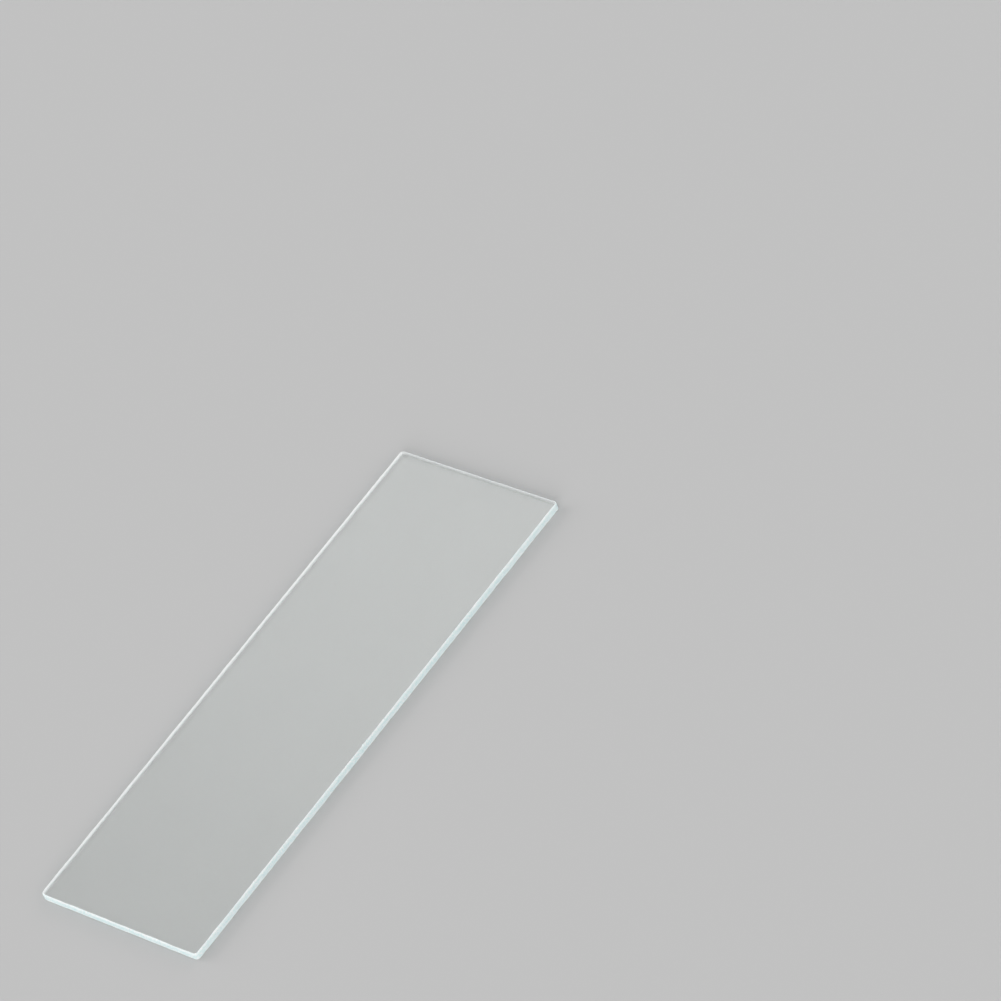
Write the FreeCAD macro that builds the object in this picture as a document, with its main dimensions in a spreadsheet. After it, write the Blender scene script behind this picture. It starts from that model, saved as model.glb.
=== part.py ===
import FreeCAD, Part
import os

import Sketcher

# A plain microscope slide: one rectangular pane of clear glass, cut from flat sheet, with its
# whole rim ground. The four upright corners are eased to a small radius, and a fine 45-degree
# arris runs round both faces, so that no edge is left sharp.
#
# X runs along the slide, Y across it and Z up through the glass. The origin is the middle of
# the underside, on the surface that the slide lies on. Lengths are in millimetres.

DIMENSIONS = (
    # alias, value, what it measures
    ("slide_length", 76.2, "from end to end, along X"),
    ("slide_width", 25.4, "from long edge to long edge, along Y"),
    ("glass_thickness", 1.1, "from the underside to the specimen face, along Z"),
    ("corner_radius", 0.5, "rounding of the four upright corners"),
    ("arris_width", 0.12, "how far the 45-degree arris cuts back each face and the rim"),
)
IN_PLANE = 1e-6  # how close to a plane or a direction counts as lying in it


def make_sheet(doc):
    """Keep the driving dimensions in a spreadsheet: meaning, number and alias on each row."""
    sheet = doc.addObject("Spreadsheet::Sheet", "Dimensions")
    for row, (alias, value, meaning) in enumerate(DIMENSIONS, start=1):
        sheet.set(f"A{row}", meaning)
        sheet.set(f"B{row}", str(value))
        sheet.setAlias(f"B{row}", alias)
    doc.recompute()
    return sheet


def origin_plane(body, role):
    """The body's own origin plane that has this role."""
    return next(feature for feature in body.Origin.OriginFeatures if feature.Role == role)


def bind_length(sketch, name, constraint, alias):
    """Add a length constraint under a name, and tie it to the sheet."""
    index = sketch.addConstraint(constraint)
    sketch.renameConstraint(index, name)
    sketch.setExpression(f"Constraints.{name}", f"Dimensions.{alias}")


def add_outline(body, sheet):
    """The slide's outline before its corners are eased: a rectangle centred on the origin."""
    sketch = body.newObject("Sketcher::SketchObject", "Outline")
    sketch.AttachmentSupport = [(origin_plane(body, "XY_Plane"), "")]
    sketch.MapMode = "FlatFace"

    x = sheet.slide_length / 2
    y = sheet.slide_width / 2
    corners = [FreeCAD.Vector(*place, 0) for place in ((-x, -y), (x, -y), (x, y), (-x, y))]
    front, right, back, left = (
        sketch.addGeometry(Part.LineSegment(start, end), False)
        for start, end in zip(corners, corners[1:] + corners[:1])
    )
    for line, following in ((front, right), (right, back), (back, left), (left, front)):
        sketch.addConstraint(Sketcher.Constraint("Coincident", line, 2, following, 1))
    for line in (front, back):
        sketch.addConstraint(Sketcher.Constraint("Horizontal", line))
    for line in (right, left):
        sketch.addConstraint(Sketcher.Constraint("Vertical", line))
    sketch.addConstraint(Sketcher.Constraint("Symmetric", front, 1, back, 1, -1, 1))

    along = Sketcher.Constraint("DistanceX", front, 1, front, 2, sheet.slide_length)
    across = Sketcher.Constraint("DistanceY", right, 1, right, 2, sheet.slide_width)
    bind_length(sketch, "along", along, "slide_length")
    bind_length(sketch, "across", across, "slide_width")
    return sketch


def edge_names(shape, wanted):
    """Names of the shape's edges that meet a test, in the form that a feature's Base takes."""
    return [f"Edge{number}" for number, edge in enumerate(shape.Edges, start=1) if wanted(edge)]


def is_upright(edge):
    """Whether an edge runs straight up through the glass, as the four corners do."""
    low, high = edge.BoundBox.ZMin, edge.BoundBox.ZMax
    return high - low > IN_PLANE and abs(edge.Length - (high - low)) < IN_PLANE


def is_level(edge):
    """Whether an edge lies flat in one of the two faces."""
    return edge.BoundBox.ZLength < IN_PLANE


def make_slide(doc, sheet):
    """The slide: a padded rectangle, its corners rounded and then both its faces' rims bevelled."""
    body = doc.addObject("PartDesign::Body", "GlassSlide")
    body.Label = "glass_slide"

    pane = body.newObject("PartDesign::Pad", "Pane")
    pane.Profile = add_outline(body, sheet)
    pane.setExpression("Length", "Dimensions.glass_thickness")
    doc.recompute()

    corners = body.newObject("PartDesign::Fillet", "EasedCorners")
    corners.Base = (pane, edge_names(pane.Shape, is_upright))
    corners.setExpression("Radius", "Dimensions.corner_radius")
    doc.recompute()

    arris = body.newObject("PartDesign::Chamfer", "GroundArris")
    arris.Base = (corners, edge_names(corners.Shape, is_level))
    arris.setExpression("Size", "Dimensions.arris_width")
    body.Placement = FreeCAD.Placement(FreeCAD.Vector(0, 0, 0), FreeCAD.Rotation())
    return body


def check(doc, subparts):
    """Stop before anything is written if a feature failed or a sub-part isn't a sound solid."""
    failed = [item.Label for item in doc.Objects if {"Invalid", "Error"} & set(item.State)]
    if failed:
        raise RuntimeError(f"features that failed: {failed}")
    for subpart in subparts:
        shape = subpart.Shape
        if shape.isNull() or not shape.isValid() or len(shape.Solids) != 1:
            raise RuntimeError(f"{subpart.Label} isn't one sound solid")


def main():
    doc = FreeCAD.newDocument("MicroscopeSlide")
    subparts = [make_slide(doc, make_sheet(doc))]
    doc.recompute()
    check(doc, subparts)

    os.makedirs("parts", exist_ok=True)
    for subpart in subparts:
        subpart.Shape.exportStep(f"parts/{subpart.Label}.step")
        box = subpart.Shape.BoundBox
        print(
            f"{subpart.Label}: {box.XLength:.2f} x {box.YLength:.2f} x {box.ZLength:.2f} mm, "
            f"{subpart.Shape.Volume:.1f} mm3, {len(subpart.Shape.Faces)} faces"
        )


main()
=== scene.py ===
# %% [markdown]
# # A plain microscope slide
# The real slide is one pane of clear sheet glass, a little over a millimetre thick. Its two faces
# are as smooth as the sheet came, and its whole rim is ground, so that it won't cut a finger. The
# clear faces show almost nothing of themselves, and the ground rim, which scatters light, is what
# the eye sees. So this lesson spends most of its care on the rim.
#
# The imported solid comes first, as the fixed frame that everything else is worked out from.

import math

import bmesh
import bpy
import numpy as np
from mathutils import Matrix, Vector


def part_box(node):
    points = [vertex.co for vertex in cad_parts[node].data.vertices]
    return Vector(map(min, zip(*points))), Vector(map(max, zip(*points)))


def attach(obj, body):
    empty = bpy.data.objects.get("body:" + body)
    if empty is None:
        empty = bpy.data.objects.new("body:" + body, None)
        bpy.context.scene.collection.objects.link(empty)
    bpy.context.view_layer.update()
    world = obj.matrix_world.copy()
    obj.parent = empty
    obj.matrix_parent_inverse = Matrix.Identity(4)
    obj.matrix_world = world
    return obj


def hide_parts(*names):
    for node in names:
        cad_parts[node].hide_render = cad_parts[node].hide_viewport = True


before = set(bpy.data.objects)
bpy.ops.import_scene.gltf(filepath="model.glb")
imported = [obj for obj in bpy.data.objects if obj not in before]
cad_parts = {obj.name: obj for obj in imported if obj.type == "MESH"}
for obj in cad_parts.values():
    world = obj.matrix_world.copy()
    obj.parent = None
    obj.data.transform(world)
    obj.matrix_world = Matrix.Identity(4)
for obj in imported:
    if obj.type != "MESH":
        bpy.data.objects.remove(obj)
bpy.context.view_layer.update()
MM = 0.001  # the frame is in metres, and a slide is easier to think of in millimetres

low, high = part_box("glass_slide")
half_length, half_width = high.x, high.y
thickness = high.z - low.z
print(f"slide: {2 * half_length / MM:.1f} x {2 * half_width / MM:.1f} x {thickness / MM:.2f} mm")

# %% [markdown]
# ## The path round the rim
# Seen from above, the slide is a rectangle with small round corners. That outline is easiest to
# walk as a smaller rectangle pushed outwards by the corner radius: its sides are the straight
# runs, and at each of its corners the outward direction turns through a quarter circle. Everything
# on the rim is then placed by two numbers: a station along this path, and a point of the section.

# %% Stations round the rim
CORNER_RADIUS = 0.5 * MM
STATION_GAP = 0.06 * MM  # along the straight runs
CORNER_STATIONS = 16  # round each corner


def rim_path():
    """
    Outline points and outward directions, anticlockwise from the -X end of the -Y edge.
    Point = point of the inner rectangle + corner radius x (cos a, sin a), for the facing angle a.
    """
    inner = np.array([half_length, half_width]) - CORNER_RADIUS
    corners = inner * np.array([(1, -1), (1, 1), (-1, 1), (-1, -1)])
    points, angles = [], []
    for k, corner in enumerate(corners):
        before = corners[k - 1]
        facing = math.radians(90 * (k - 1))
        count = round(np.abs(corner - before).sum() / STATION_GAP)
        share = np.linspace(0, 1, count, endpoint=False)[:, None]
        turn = np.linspace(0, math.pi / 2, CORNER_STATIONS, endpoint=False)
        points += [before + share * (corner - before), np.tile(corner, (CORNER_STATIONS, 1))]
        angles += [np.full(count, facing), facing + turn]
    angles = np.concatenate(angles)
    outward = np.stack([np.cos(angles), np.sin(angles)], axis=1)
    return np.concatenate(points) + CORNER_RADIUS * outward, outward


place, outward = rim_path()
steps = np.linalg.norm(np.roll(place, -1, axis=0) - place, axis=1)
along = np.concatenate([[0], np.cumsum(steps)[:-1]])
rim_length = steps.sum()
print(f"rim: {len(place)} stations, {rim_length / MM:.1f} mm round")

# %% [markdown]
# ## How even the grinding is
# A belt takes the sharp edges off, and the hand that holds the glass to it is not quite steady.
# The narrow bevel, called the arris, wanders a little in width. Here and there a tiny shell of
# glass has flaked off its inner edge, and one corner has been ground rounder than the rest. All
# this could be painted on, but it shows in the outline of the clear face, so it belongs in the
# surface. The wander is a sum of cosines that close on themselves round the rim, a nick is half an
# ellipse that starts on the arris and bites into the face, and the rounder corner is the plain one
# with a smooth hump of glass taken off its outside.

# %% Arris width at each station
ARRIS = 0.12 * MM
WANDER = 0.13  # of the arris, as a typical swing
MOST_WANDER = 2.5  # typical swings
WAVES_ROUND = (20, 700)  # the slowest and the fastest cosine, in waves round the rim
WAVES = 60
NICKS = 46  # on each face
NICK_REACH = (0.05 * MM, 0.2 * MM)  # half a nick's length, from the commonest to the largest
NICK_RARITY = 4  # the higher, the fewer nicks are large
NICK_BITE = 0.45  # how deep a nick bites into the face, as a share of that reach
NICK_DEPTH = 0.3  # how far it runs down the rim, as a share of that bite
EASED_CORNER = (-1, 1)  # the rounder corner, by the signs of its x and y
EASED = 0.08 * MM  # taken off in the middle of that corner
EASED_REACH = 0.8 * MM  # each way along the rim

random = np.random.default_rng(76)


def wander():
    """
    Sum of cosines, each with its own phase and 1 / sqrt(waves round) strong, over its own typical
    size, and held to MOST_WANDER either way.
    """
    turns = np.unique(np.geomspace(*WAVES_ROUND, WAVES).round())
    phase = random.uniform(0, 2 * math.pi, len(turns))
    swing = np.cos(2 * math.pi * np.outer(along / rim_length, turns) + phase) @ turns**-0.5
    return np.clip(swing / swing.std(), -MOST_WANDER, MOST_WANDER)


def distance_to(places):
    """Distance along the rim from each station to each place, the shorter way round."""
    one_way = np.abs(along[:, None] - places)
    return np.minimum(one_way, rim_length - one_way)


def nick_bites():
    """Deepest half ellipse at each station: NICK_BITE x reach x sqrt(1 - (distance / reach)^2)."""
    middle = random.uniform(0, rim_length, NICKS)
    reach = NICK_REACH[0] + (NICK_REACH[1] - NICK_REACH[0]) * random.random(NICKS) ** NICK_RARITY
    inside = np.clip(1 - (distance_to(middle) / reach) ** 2, 0, None)
    return (NICK_BITE * reach * np.sqrt(inside)).max(axis=1)


def corner_eased():
    """What the rounder corner loses: EASED x (1 + cos(pi x distance / reach)) / 2."""
    middle = along[np.argmax(place @ EASED_CORNER)]
    share = np.clip(distance_to(middle)[:, 0] / EASED_REACH, 0, 1)
    return EASED * (1 + np.cos(math.pi * share)) / 2


def ground_arris():
    """How far the arris cuts into the face and down the rim at each station, and the nicks."""
    even = ARRIS * (1 + WANDER * wander())
    bites = nick_bites()
    return even + bites, even + NICK_DEPTH * bites, bites


upper_arris = ground_arris()
lower_arris = ground_arris()
eased = corner_eased()
print(f"arris: {upper_arris[0].min() / MM:.2f} to {upper_arris[0].max() / MM:.2f} mm wide,"
      f" and {np.count_nonzero(eased)} stations eased")

# %% [markdown]
# ## The rim as one swept surface
# The rim's section is three straight lines: upper arris, ground flat, lower arris. Carried round
# the path, it makes a grid of stations by section rows, and each row is worked out at once for
# every station. Rows sit close together beside each crease, so that smooth shading turns there
# within a few hundredths of a millimetre, as ground glass does after some wear. A nick's surface
# is hollow, like the inside of a shell, so its middle rows sink a little. Each row also carries a
# mark that the ground finish reads later to whiten it: partly how broken its glass is, most of all
# on the arrises, and partly a painted highlight along the arrises and the edges of the flat.

# %% Sweep the section round the path
ARRIS_ROWS = np.array([0, 0.04, 0.4, 0.7, 0.92, 1])  # shares of the way from face to ground flat
FLAT_ROWS = np.array([0, 0.02, 0.25, 0.5, 0.75, 0.98])  # shares of the way down the ground flat
NICK_HOLLOW = 0.35  # how far a nick's middle sinks, as a share of its bite
FLAT_WEAR_AND_HIGHLIGHT = 0.8  # how much whiter the flat is right beside an arris, where the arris itself is 1: broken glass and painted highlight


def arris_rows(cut_in, cut_down, bites, rows):
    """
    Inset from the outline and depth below the face, for each station and row of one arris.
    Both fall in a straight line from face to flat, plus hollow x bite x sin(pi x row).
    """
    hollow = NICK_HOLLOW * np.outer(bites, np.sin(math.pi * rows))
    return np.outer(cut_in, 1 - rows) + hollow, np.outer(cut_down, rows) + hollow


def swept_rim():
    """Rim points, from the upper face's edge down to the lower face's, at every station."""
    upper_inset, upper_depth = arris_rows(*upper_arris, ARRIS_ROWS[:-1])
    lower_inset, lower_depth = arris_rows(*lower_arris, ARRIS_ROWS[::-1])
    flat_top = high.z - upper_arris[1][:, None]
    flat_bottom = low.z + lower_arris[1][:, None]
    flat = flat_top + (flat_bottom - flat_top) * FLAT_ROWS
    inset = np.hstack([upper_inset, np.zeros_like(flat), lower_inset]) + eased[:, None]
    height = np.hstack([high.z - upper_depth, flat, low.z + lower_depth])
    return np.dstack([place[:, None] - inset[..., None] * outward[:, None], height])


def wear_and_highlight_rows():
    """Whiteness of each row, for broken glass and a painted highlight: 1 on an arris, and (2 x row -
    1)^2 times the flat's measure between.
    """
    flat = FLAT_WEAR_AND_HIGHLIGHT * (2 * FLAT_ROWS - 1) ** 2
    return np.concatenate([np.ones(len(ARRIS_ROWS) - 1), flat, np.ones(len(ARRIS_ROWS))])


ground = swept_rim()
print(f"rim surface: {ground.shape[0]} stations x {ground.shape[1]} rows")

# %% [markdown]
# ## The two clear faces
# A flat face could be one many-sided polygon, but a polygon with thousands of corners is slow to
# cut into triangles. Each face is a grid instead, like a roof that is perfectly flat: from each
# station on the arris, a strip runs to the nearest point of a ridge down the middle of the slide.
# The strips of the two long edges meet along the ridge, point for point, so welding closes them.

# %% Join rim and faces
def ridge_points(z):
    """Nearest ridge point to each station: x held to the ridge's reach, y zero, height z."""
    reach = half_length - half_width
    x = np.clip(place[:, 0], -reach, reach)
    return np.stack([x, np.zeros_like(x), np.full_like(x, z)], axis=1)[:, None]


def closed_pane():
    """Grid of points from the upper ridge over the rim to the lower ridge, its quads, rim marks."""
    grid = np.concatenate([ridge_points(high.z), ground, ridge_points(low.z)], axis=1)
    stations, rows = grid.shape[:2]
    here = np.arange(stations * rows).reshape(stations, rows)
    ahead = np.roll(here, -1, axis=0)
    quads = np.stack([here[:, :-1], here[:, 1:], ahead[:, 1:], ahead[:, :-1]], axis=2)
    on_rim = np.ones((stations, rows - 1), bool)
    on_rim[:, [0, -1]] = False
    return grid.reshape(-1, 3), quads.reshape(-1, 4), on_rim.ravel()


points, quads, on_rim = closed_pane()
pane_mesh = bpy.data.meshes.new("microscope_slide")
pane_mesh.from_pydata(points, [], quads)
pane_mesh.polygons.foreach_set("material_index", on_rim.astype(np.int32))
pane_mesh.polygons.foreach_set("use_smooth", on_rim)
# This row mark whitens the rim's colour later: partly broken glass, partly a painted highlight along
# the arrises and the flat's edges.
wear_and_highlight = np.tile(np.pad(wear_and_highlight_rows(), 1), (len(place), 1))
pane_mesh.attributes.new("wear_and_highlight", "FLOAT", "POINT").data.foreach_set("value", wear_and_highlight.ravel())
print(f"pane: {len(points)} points, {len(quads)} quads, {on_rim.sum()} of them ground")

# %% [markdown]
# ## The pane laid out flat
# The finishes are noise in space and need no map, but a copy for another program carries them as
# pictures, and a picture needs one. Blender could unwrap the pane by itself, and would give nearly
# all of the picture to the two plain faces. The rim holds the detail, so here it gets half: it is
# cut into strips of much the same length, one above the other, and the two faces lie above them.

# %% Lay out the map
STRIPS = 8
RIM_SHARE = 0.5  # of the picture's height, and the two faces share the rest
MAP_GAP = 0.004  # between neighbours, as a share of the picture


def rim_map():
    """For each rim quad and corner: u = way along the strip, v = strip + way across the section."""
    widths = np.linalg.norm(np.diff(ground, axis=1), axis=2).mean(axis=0)
    across = np.concatenate([[0], np.cumsum(widths)]) / widths.sum()
    turns = np.arange(len(place) + 1) * STRIPS / len(place)
    strip = np.floor(turns[:-1])
    u = np.stack([turns[:-1], turns[:-1], turns[1:], turns[1:]], axis=1) - strip[:, None]
    v = np.stack([across[:-1], across[1:], across[1:], across[:-1]], axis=1)
    height = RIM_SHARE / STRIPS
    v = strip[:, None, None] * height + v * (height - MAP_GAP)
    return np.stack(np.broadcast_arrays(u[:, None], v), axis=-1)


def face_map(floor_of_map):
    """For each point: u and v = place on the face as a share of its size, v from a given floor."""
    flat = points[:, :2] / (2 * half_length, 2 * half_width) + 0.5
    height = (1 - RIM_SHARE) / 2
    return flat * (1, height - MAP_GAP) + (0, floor_of_map)


corners = quads.reshape(len(place), -1, 4)
layout = np.empty(corners.shape + (2,))
layout[:, 0] = face_map(RIM_SHARE)[corners[:, 0]]
layout[:, 1:-1] = rim_map()
layout[:, -1] = face_map((1 + RIM_SHARE) / 2)[corners[:, -1]]
pane_map = pane_mesh.uv_layers.new(name="OFBake")
pane_map.uv.foreach_set("vector", layout.astype(np.float32).ravel())
print(f"map: the rim in {STRIPS} strips over {RIM_SHARE:.0%} of the picture")

# %% [markdown]
# ## Welding the seams
# So far every station has a ridge point of its own, above and below, and many of them lie in one
# place. Welding makes one point of each such heap. A picture wouldn't show the difference, but a
# pane that is weighed or printed has to be one closed shell, so the open edges and the volume are
# measured here too.

# %% Weld, and hang the piece on its body
WELD = 0.0001 * MM
welder = bmesh.new()
welder.from_mesh(pane_mesh)
bmesh.ops.remove_doubles(welder, verts=welder.verts, dist=WELD)
open_edges = sum(not edge.is_manifold for edge in welder.edges)
volume = welder.calc_volume(signed=True)  # below zero if the faces pointed inwards
print(f"welded: {len(welder.faces)} faces, {open_edges} open edges, {volume / MM**3:.0f} cubic mm")
welder.to_mesh(pane_mesh)
welder.free()

slide = bpy.data.objects.new("microscope_slide", pane_mesh)
bpy.context.collection.objects.link(slide)
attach(slide, "root")
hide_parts("glass_slide")

# %% [markdown]
# ## Helpers for the finishes
# Every finish here is a small network of shader nodes. Adding a node by hand takes a line to make
# it and a line for each input, so short helpers do both, and the finishes below stay readable.

# %% Node helpers
def feed(tree, socket, value):
    """Links an input to a socket, or sets it to a plain value."""
    if isinstance(value, bpy.types.NodeSocket):
        tree.links.new(value, socket)
    else:
        socket.default_value = value


def node(tree, kind, settings=None, **inputs):
    """Adds a shader node with its settings, and feeds the inputs that are named."""
    made = tree.nodes.new("ShaderNode" + kind)
    for name, value in (settings or {}).items():
        setattr(made, name, value)
    for name, value in inputs.items():
        feed(tree, made.inputs[name.replace("_", " ")], value)
    return made


def maths(tree, operation, *values):
    """One Math node on two or three numbers or sockets; gives its output socket."""
    made = node(tree, "Math", {"operation": operation})
    for socket, value in zip(made.inputs, values):
        feed(tree, socket, value)
    return made.outputs[0]


def mixed_colour(tree, share, first, second):
    """The first colour where share is 0 and the second where it is 1; gives the output socket."""
    made = node(tree, "Mix", {"data_type": "RGBA"}, Factor=share)
    feed(tree, made.inputs[6], first)
    feed(tree, made.inputs[7], second)
    return made.outputs[2]


def new_finish(name):
    """An empty material, its node tree and its Principled shader, already on the output."""
    finish = bpy.data.materials.new(name)
    finish.use_nodes = True
    tree = finish.node_tree
    return finish, tree, tree.nodes["Principled BSDF"]


print("helpers:", [helper.__name__ for helper in (feed, node, maths, mixed_colour, new_finish)])

# %% [markdown]
# ## Dust, on both finishes
# Even a slide straight from its box carries a few specks. Scattered geometry would be one way, but
# a speck is a few hundredths of a millimetre across, so a pattern is enough. A Voronoi texture
# drops one random point into each small cell of space, and where a point happens to lie close to
# the glass, its ball cuts the surface in a round spot. Both finishes need it, so it is a node group.

# %% The dust group
DUST_CELL = 1.2 * MM
DUST_COLOUR = (0.80, 0.81, 0.80, 1)
SMALLEST_SPECK = 0.5  # as a share of the largest
SPECK_CORE = 0.6  # where a speck starts to fade, as a share of its radius


def make_dust_group():
    """
    Mask of the specks: 1 in the core and fading to 0 at the speck's edge, which lies at
    radius x (smallest + random x (1 - smallest)).
    """
    group = bpy.data.node_groups.new("dust_specks", "ShaderNodeTree")
    for name in ("Share", "Radius"):
        group.interface.new_socket(name=name, in_out="INPUT", socket_type="NodeSocketFloat")
    group.interface.new_socket(name="Dust", in_out="OUTPUT", socket_type="NodeSocketFloat")
    given = group.nodes.new("NodeGroupInput").outputs
    where = node(group, "TexCoord").outputs["Object"]
    cells = node(group, "TexVoronoi", Vector=where, Scale=1 / DUST_CELL).outputs
    chance = node(group, "SeparateColor", Color=cells["Color"]).outputs
    present = maths(group, "LESS_THAN", chance["Red"], given["Share"])
    size = maths(group, "MULTIPLY_ADD", chance["Green"], 1 - SMALLEST_SPECK, SMALLEST_SPECK)
    radius = maths(group, "MULTIPLY", maths(group, "DIVIDE", given["Radius"], DUST_CELL), size)
    inside = maths(group, "DIVIDE", cells["Distance"], radius)
    spot = node(
        group, "MapRange", {"interpolation_type": "SMOOTHSTEP"},
        Value=inside, From_Min=SPECK_CORE, From_Max=1.0, To_Min=1.0, To_Max=0.0,
    ).outputs[0]
    out = group.nodes.new("NodeGroupOutput")
    group.links.new(maths(group, "MULTIPLY", spot, present), out.inputs["Dust"])
    return group


dust_group = make_dust_group()


def dust(tree, share, radius):
    """Places the dust group, for a share of cells that hold a speck and a radius; gives its mask."""
    made = node(tree, "Group", {"node_tree": dust_group}, Share=share, Radius=radius)
    return made.outputs["Dust"]


print("dust cells per square centimetre:", round((10 * MM / DUST_CELL) ** 2))

# %% [markdown]
# ## The clear faces
# The faces are untouched sheet glass. The shader bends light as soda-lime glass does and gives it
# almost no colour. A face that is perfectly even everywhere looks like a computer's, so a
# stretched noise gives the faint smears of a wiped slide, too smooth to see except in a reflection.

# %% Clear glass
GLASS_IOR = 1.52
CLEAR_TINT = (0.975, 0.992, 0.986, 1)
SMOOTHEST, SMEARED, DUSTY = 0.002, 0.03, 0.45  # roughness
WIPE_ANGLE = math.radians(24)
SMEARS_ALONG, SMEARS_ACROSS = 60, 600  # noise cells in a metre
SMEAR_SPAN = (0.5, 0.8)  # the noise where smears begin, and where they are full
FACE_DUST = (0.25, 0.07 * MM)  # share of the cells that hold a speck, and the largest radius


def make_clear_glass():
    """Roughness from smoothest to smeared as the noise rises; dust is rougher and a little greyer."""
    finish, tree, shader = new_finish("sheet_glass")
    where = node(tree, "TexCoord").outputs["Object"]
    wiped = node(tree, "Mapping", Vector=where, Rotation=(0, 0, WIPE_ANGLE),
                 Scale=(SMEARS_ALONG, SMEARS_ACROSS, SMEARS_ALONG)).outputs[0]
    smears = node(tree, "TexNoise", Vector=wiped, Scale=1.0, Detail=4.0, Roughness=0.6).outputs[0]
    begin, full = SMEAR_SPAN
    rough = node(tree, "MapRange", Value=smears, From_Min=begin, From_Max=full,
                 To_Min=SMOOTHEST, To_Max=SMEARED).outputs[0]
    specks = dust(tree, *FACE_DUST)
    rough = node(tree, "Mix", Factor=specks, A=rough, B=DUSTY).outputs[0]
    colour = mixed_colour(tree, specks, CLEAR_TINT, DUST_COLOUR)
    tree.links.new(rough, shader.inputs["Roughness"])
    tree.links.new(colour, shader.inputs["Base Color"])
    shader.inputs["Transmission Weight"].default_value = 1
    shader.inputs["IOR"].default_value = GLASS_IOR
    return finish


pane_mesh.materials.append(make_clear_glass())
print("clear glass: refractive index", GLASS_IOR)

# %% [markdown]
# ## The ground rim
# Grinding leaves the rim covered in fine pits, and glass with a pitted skin scatters light so
# thoroughly that it looks like pale enamel: a little green on the flat, where light has travelled
# through the slide, and whiter on the broken arrises and beside them, which the marks from the
# sweep tell apart. That whiteness is partly the broken glass and partly a painted highlight along
# the arris lines. A rough glass shader would be true to the pits but comes out far too dark, so the
# rim is a matt shader mixed with a translucent one. From outside it is nearly all matt. From inside,
# through the clear face, the rim glows with the light that falls on its outer side, so there the
# translucent shader takes over.
#
# The patterns are noise in the object's own space. The streaks that the belt leaves run level
# along the rim, so their noise is squeezed upwards, and that works on all four sides.

# %% Ground glass
RIM_TINT = (0.66, 0.86, 0.87, 1)
ARRIS_TINT = (0.96, 0.99, 0.99, 1)
GLOW_TINT = (0.97, 0.99, 0.99, 1)
LIGHT_PASSED = (0.15, 1.0)  # share of the translucent shader, seen from outside and from inside
STREAKS, GRAINS, PITS = 500.0, 4500.0, 14000.0  # noise cells in a metre
STREAK_SQUEEZE = 25  # how much closer together the streaks lie upwards than along the rim
WHITE_START = -2.0  # whiteness before anything is added
# The last of these whitens by the row mark: broken glass, and a painted highlight on the arrises.
WHITE_STREAKS, WHITE_GRAIN, WHITE_WEAR_AND_HIGHLIGHT = 1.4, 3.3, 0.45  # what each adds where it is 1
GRAIN_SPAN = (0.3, 0.7)  # the noise where the roughness is finest, and where it is coarsest
FINEST, COARSEST = 0.5, 0.75  # roughness
STREAK_RELIEF = 0.6  # height of the streaks, as a share of the pits' height
PIT_DEPTH = 0.01 * MM
PIT_STRENGTH = 0.6  # from 0, no bump, to 1, all of it
RIM_DUST = (0.3, 0.06 * MM)  # share of the cells that hold a speck, and the largest radius


def make_ground_glass():
    """Green to white by start + streaks + grain + wear and painted highlight, each weighted; pits +
    streaks as bump.
    """
    finish, tree, shader = new_finish("ground_glass")
    where = node(tree, "TexCoord").outputs["Object"]
    level = node(tree, "Mapping", Vector=where, Scale=(1, 1, STREAK_SQUEEZE)).outputs[0]
    streaks = node(tree, "TexNoise", Vector=level, Scale=STREAKS, Detail=4.0).outputs[0]
    grain = node(tree, "TexNoise", Vector=where, Scale=GRAINS, Detail=2.0, Roughness=0.75).outputs[0]
    pits = node(tree, "TexNoise", Vector=where, Scale=PITS, Detail=2.0).outputs[0]
    wear_and_highlight = node(tree, "Attribute", {"attribute_name": "wear_and_highlight"}).outputs["Fac"]
    whiteness = maths(tree, "MULTIPLY_ADD", streaks, WHITE_STREAKS, WHITE_START)
    whiteness = maths(tree, "MULTIPLY_ADD", grain, WHITE_GRAIN, whiteness)
    # The row mark adds whiteness for broken glass and, as painted highlight, along the arrises and
    # the flat's edges.
    whiteness = maths(tree, "MULTIPLY_ADD", wear_and_highlight, WHITE_WEAR_AND_HIGHLIGHT, whiteness)
    colour = mixed_colour(tree, whiteness, RIM_TINT, ARRIS_TINT)
    colour = mixed_colour(tree, dust(tree, *RIM_DUST), colour, DUST_COLOUR)
    fine, coarse = GRAIN_SPAN
    rough = node(tree, "MapRange", Value=grain, From_Min=fine, From_Max=coarse,
                 To_Min=FINEST, To_Max=COARSEST).outputs[0]
    relief = maths(tree, "MULTIPLY_ADD", streaks, STREAK_RELIEF, pits)
    bump = node(tree, "Bump", Height=relief, Strength=PIT_STRENGTH, Distance=PIT_DEPTH).outputs[0]
    tree.links.new(colour, shader.inputs["Base Color"])
    tree.links.new(rough, shader.inputs["Roughness"])
    tree.links.new(bump, shader.inputs["Normal"])
    shader.inputs["IOR"].default_value = GLASS_IOR
    inside = node(tree, "NewGeometry").outputs["Backfacing"]
    outer, inner = LIGHT_PASSED
    passed = maths(tree, "MULTIPLY_ADD", inside, inner - outer, outer)
    glow = node(tree, "BsdfTranslucent", Color=GLOW_TINT, Normal=bump).outputs[0]
    both = node(tree, "MixShader", Fac=passed)
    tree.links.new(shader.outputs[0], both.inputs[1])
    tree.links.new(glow, both.inputs[2])
    tree.links.new(both.outputs[0], tree.nodes["Material Output"].inputs["Surface"])
    return finish


pane_mesh.materials.append(make_ground_glass())
print("finishes:", [finish.name for finish in pane_mesh.materials])

# %% [markdown]
# ## Lamps
# Small lamps would draw hard bright lines through a glass edge. These are suns with a very wide
# disc, which work like big soft boxes a long way off. They stand low, one on each side, because a
# thin slide lying flat has only its rim to show. Each is given by the direction that it shines
# from and its share: how bright a white card that faces it squarely would look.

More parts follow.
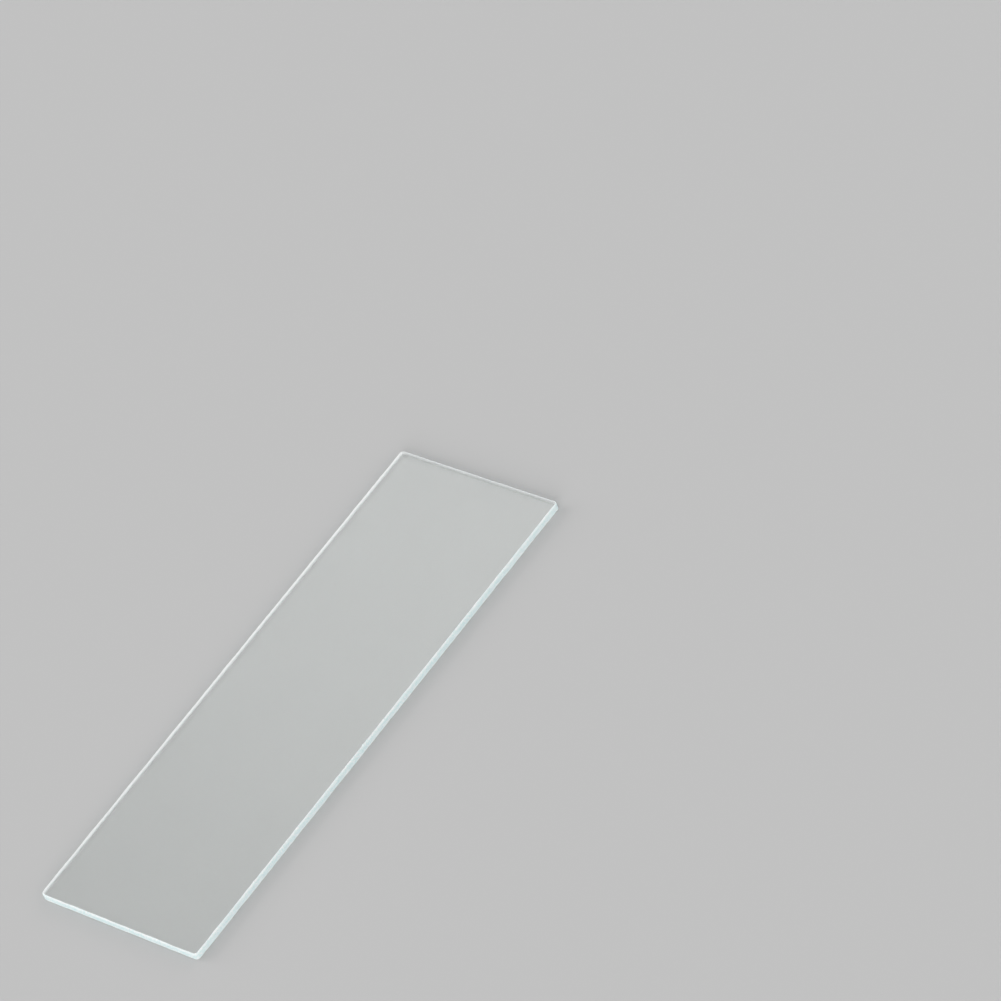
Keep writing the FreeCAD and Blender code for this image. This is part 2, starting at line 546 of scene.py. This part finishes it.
# %% Four soft lamps
SOFTNESS = math.radians(40)
LAMPS = {  # azimuth and elevation in degrees, and the share
    "near_end": (-62, 20, 0.42),
    "right_side": (10, 22, 0.14),
    "left_side": (197, 24, 0.36),
    "far_end": (90, 25, 0.16),
}
SKY_LIGHT = 0.62  # the share of the light that comes evenly from all round


def direction(azimuth, elevation):
    """Unit vector towards an azimuth, where 0 is -Y and 90 is +X, and an elevation, in radians."""
    level = math.cos(elevation)
    return Vector((math.sin(azimuth) * level, -math.cos(azimuth) * level, math.sin(elevation)))


on_floor = SKY_LIGHT
for name, (azimuth, elevation, share) in LAMPS.items():
    towards = direction(math.radians(azimuth), math.radians(elevation))
    sun = bpy.data.lights.new(name, "SUN")
    sun.energy = math.pi * share
    sun.angle = SOFTNESS
    lamp = bpy.data.objects.new(name, sun)
    lamp.matrix_world = towards.to_track_quat("Z", "Y").to_matrix().to_4x4()
    bpy.context.collection.objects.link(lamp)
    on_floor += share * towards.z
print(f"light on the floor: {on_floor:.2f} of a plain level")

# %% [markdown]
# ## Floor
# A plain matt disc of pale grey. White would hide the white rim, and a glossy floor would mirror it.

# %% Floor
GREY = 0.52
FLOOR_RADIUS = 3.0
FLOOR_SIDES = 64
FLOOR_DROP = 0.03 * MM  # keeps the floor and the underside from lying in one plane


def make_floor():
    """A flat disc under the slide: radius x (cos a, sin a), with matt paint."""
    turn = np.linspace(0, 2 * math.pi, FLOOR_SIDES, endpoint=False)
    ring = FLOOR_RADIUS * np.stack([np.cos(turn), np.sin(turn)], axis=1)
    disc = np.column_stack([ring, np.full(FLOOR_SIDES, low.z - FLOOR_DROP)])
    mesh = bpy.data.meshes.new("floor")
    mesh.from_pydata(disc, [], [range(FLOOR_SIDES)])
    paint, _, shader = new_finish("floor_paint")
    shader.inputs["Base Color"].default_value = (GREY, GREY, GREY, 1)
    shader.inputs["Specular IOR Level"].default_value = 0
    mesh.materials.append(paint)
    floor = bpy.data.objects.new("floor", mesh)
    bpy.context.collection.objects.link(floor)


make_floor()
print(f"floor looks {GREY * on_floor:.2f} bright")

# %% [markdown]
# ## Sky
# A clear object shows whatever lies round it. The sky that the eye meets, straight or in the
# glass, is as bright as the lit floor, so no horizon runs through the picture, and only the light
# that it sheds on matt surfaces has its own level. With nothing brighter than itself to mirror,
# though, a pane looks like grey film. So one round soft box hangs beyond the far end, where the
# upper face mirrors its blurred edge.

# %% Even sky with one soft box
SOFT_BOX = (math.radians(138), math.radians(40))  # azimuth and elevation of its middle
BOX_EDGE = (math.radians(11), math.radians(5))  # from its middle to where it starts and is full
BOX_LIGHT = 0.8


def make_sky():
    """Floor's brightness + BOX_LIGHT in the box, and SKY_LIGHT to rays from matt surfaces."""
    sky = bpy.data.worlds.new("studio")
    sky.use_nodes = True
    tree = sky.node_tree
    nearness = node(tree, "VectorMath", {"operation": "DOT_PRODUCT"})
    feed(tree, nearness.inputs[0], node(tree, "TexCoord").outputs["Generated"])
    feed(tree, nearness.inputs[1], direction(*SOFT_BOX))
    start, full = (math.cos(angle) for angle in BOX_EDGE)
    seen = node(
        tree, "MapRange", {"interpolation_type": "SMOOTHSTEP"},
        Value=nearness.outputs["Value"], From_Min=start, From_Max=full,
        To_Min=GREY * on_floor, To_Max=GREY * on_floor + BOX_LIGHT,
    ).outputs[0]
    matt_before = node(tree, "LightPath").outputs["Diffuse Depth"]
    level = node(tree, "MapRange", Value=matt_before, To_Min=seen, To_Max=SKY_LIGHT).outputs[0]
    feed(tree, tree.nodes["Background"].inputs["Strength"], level)
    feed(tree, tree.nodes["Background"].inputs["Color"], (1, 1, 1, 1))
    bpy.context.scene.world = sky


make_sky()
print("soft box in the direction", [round(part, 2) for part in direction(*SOFT_BOX)])

# %% [markdown]
# ## Camera
# A long lens from far off, as for a catalogue picture: it looks down on one end of the slide and
# along its length, and the camera is tilted to one side, so that the slide runs up the frame.

# %% Camera
LENS = 250  # for a film 36 mm wide
AZIMUTH, ELEVATION, TILT = (math.radians(angle) for angle in (-35.88, 43.09, 24.95))
DISTANCE = 860.4 * MM
AIM = Vector((36.34 * MM, -4.39 * MM, low.z))  # the point on the floor in the frame's middle

back = direction(AZIMUTH, ELEVATION)
level_right = Vector((0, 0, 1)).cross(back).normalized()
upright = back.cross(level_right)
up = math.cos(TILT) * upright + math.sin(TILT) * level_right
axes = Matrix((up.cross(back), up, back)).transposed()

lens = bpy.data.cameras.new("camera")
lens.lens = LENS
camera = bpy.data.objects.new("camera", lens)
camera.matrix_world = Matrix.Translation(AIM + DISTANCE * back) @ axes.to_4x4()
bpy.context.collection.objects.link(camera)
bpy.context.scene.camera = camera
bpy.context.scene.view_settings.view_transform = "Standard"
bpy.context.scene.cycles.blur_glossy = 0  # light that passes through the slide stays sharp
print("camera at", [round(value / MM) for value in camera.location], "mm")
